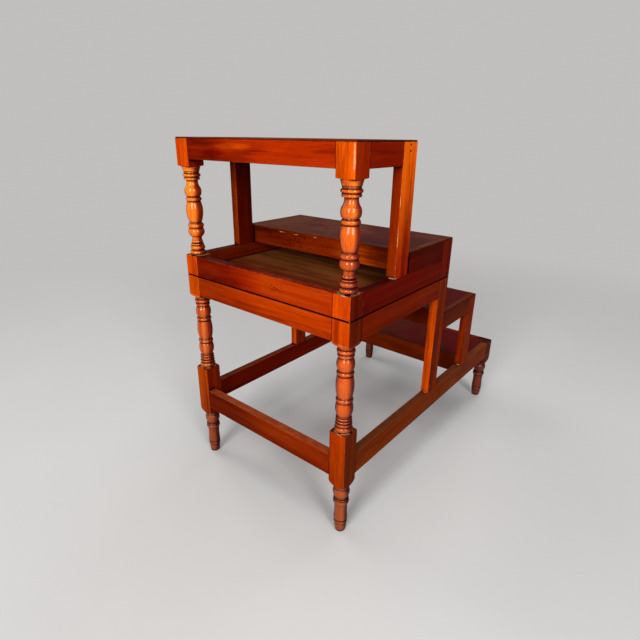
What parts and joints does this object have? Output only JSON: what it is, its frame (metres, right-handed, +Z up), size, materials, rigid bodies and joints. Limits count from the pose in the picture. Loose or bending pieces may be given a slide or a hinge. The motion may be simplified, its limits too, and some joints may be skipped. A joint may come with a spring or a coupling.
{
  "type": "flip-top library steps",
  "caption": "Mahogany library steps with leather treads and turned legs; the hinged upper half flips over to make a low table with a tray inside.",
  "frame": {"origin": "on the floor, under the middle of the object's box in plan, with the hinge line straight above it", "axes": "+Z up; +X across the steps' width, to the climber's right; +Y from the first step towards the tall legs, with the top as steps in the picture"},
  "size_m": [0.424, 0.716, 0.7199],
  "materials": {
    "mahogany": "french polish, worn at the arrises",
    "post_mahogany": "thin polish",
    "raw_board": "unpolished and dusty",
    "dark_peg": "dark end grain",
    "leather": "waxed",
    "faded_leather": "faded and mottled",
    "crimson_leather": "waxed",
    "brass": "aged",
    "steel": "plain"
  },
  "bodies": {
    "base": {"base_hinge_rail": "mahogany", "base_rear_apron": "mahogany", "base_side_apron_left": "mahogany", "base_side_apron_right": "mahogany", "base_top_board": "mahogany", "first_tread_board": "mahogany", "first_tread_front_rail": "mahogany", "first_tread_leather": "crimson_leather", "first_tread_rear_rail": "mahogany", "front_foot_left": "mahogany", "front_foot_right": "mahogany", "hinge_base_leaf_left": "brass", "hinge_base_leaf_right": "brass", "hinge_base_screws": "brass", "hinge_pin_left": "steel", "hinge_pin_right": "steel", "hinge_post_left": "post_mahogany", "hinge_post_right": "post_mahogany", "rear_leg_left": "mahogany", "rear_leg_right": "mahogany", "rear_stretcher": "mahogany", "second_tread_board": "mahogany", "second_tread_front_rail": "mahogany", "second_tread_leather": "leather", "second_tread_rear_rail": "mahogany", "second_tread_side_rail_left": "mahogany", "second_tread_side_rail_right": "mahogany", "side_rail_left": "mahogany", "side_rail_right": "mahogany", "step_post_left": "post_mahogany", "step_post_right": "post_mahogany"},
    "flip_top": {"hinge_top_leaf_left": "brass", "hinge_top_leaf_right": "brass", "hinge_top_screws": "brass", "post_pegs": "dark_peg", "third_tread_board": "mahogany", "third_tread_front_rail": "mahogany", "third_tread_leather": "faded_leather", "third_tread_rear_rail": "mahogany", "third_tread_side_rail_left": "mahogany", "third_tread_side_rail_right": "mahogany", "top_leg_left": "mahogany", "top_leg_right": "mahogany", "top_tread_board": "mahogany", "top_tread_front_rail": "mahogany", "top_tread_leather": "leather", "top_tread_rear_rail": "mahogany", "top_tread_side_rail_left": "mahogany", "top_tread_side_rail_right": "mahogany", "tray_board": "raw_board", "tray_corner_post_left": "mahogany", "tray_corner_post_right": "mahogany", "tray_hinge_rail": "mahogany", "tray_rear_apron": "mahogany", "tray_side_apron_left": "mahogany", "tray_side_apron_right": "mahogany", "upper_post_left": "post_mahogany", "upper_post_right": "post_mahogany"}
  },
  "joints": [
    {"name": "flip_hinge", "type": "hinge", "parent": "base", "child": "flip_top", "pos_m": [0, 0, 0.45], "axis": [1, 0, 0], "range_deg": [0, 180]}
  ]
}
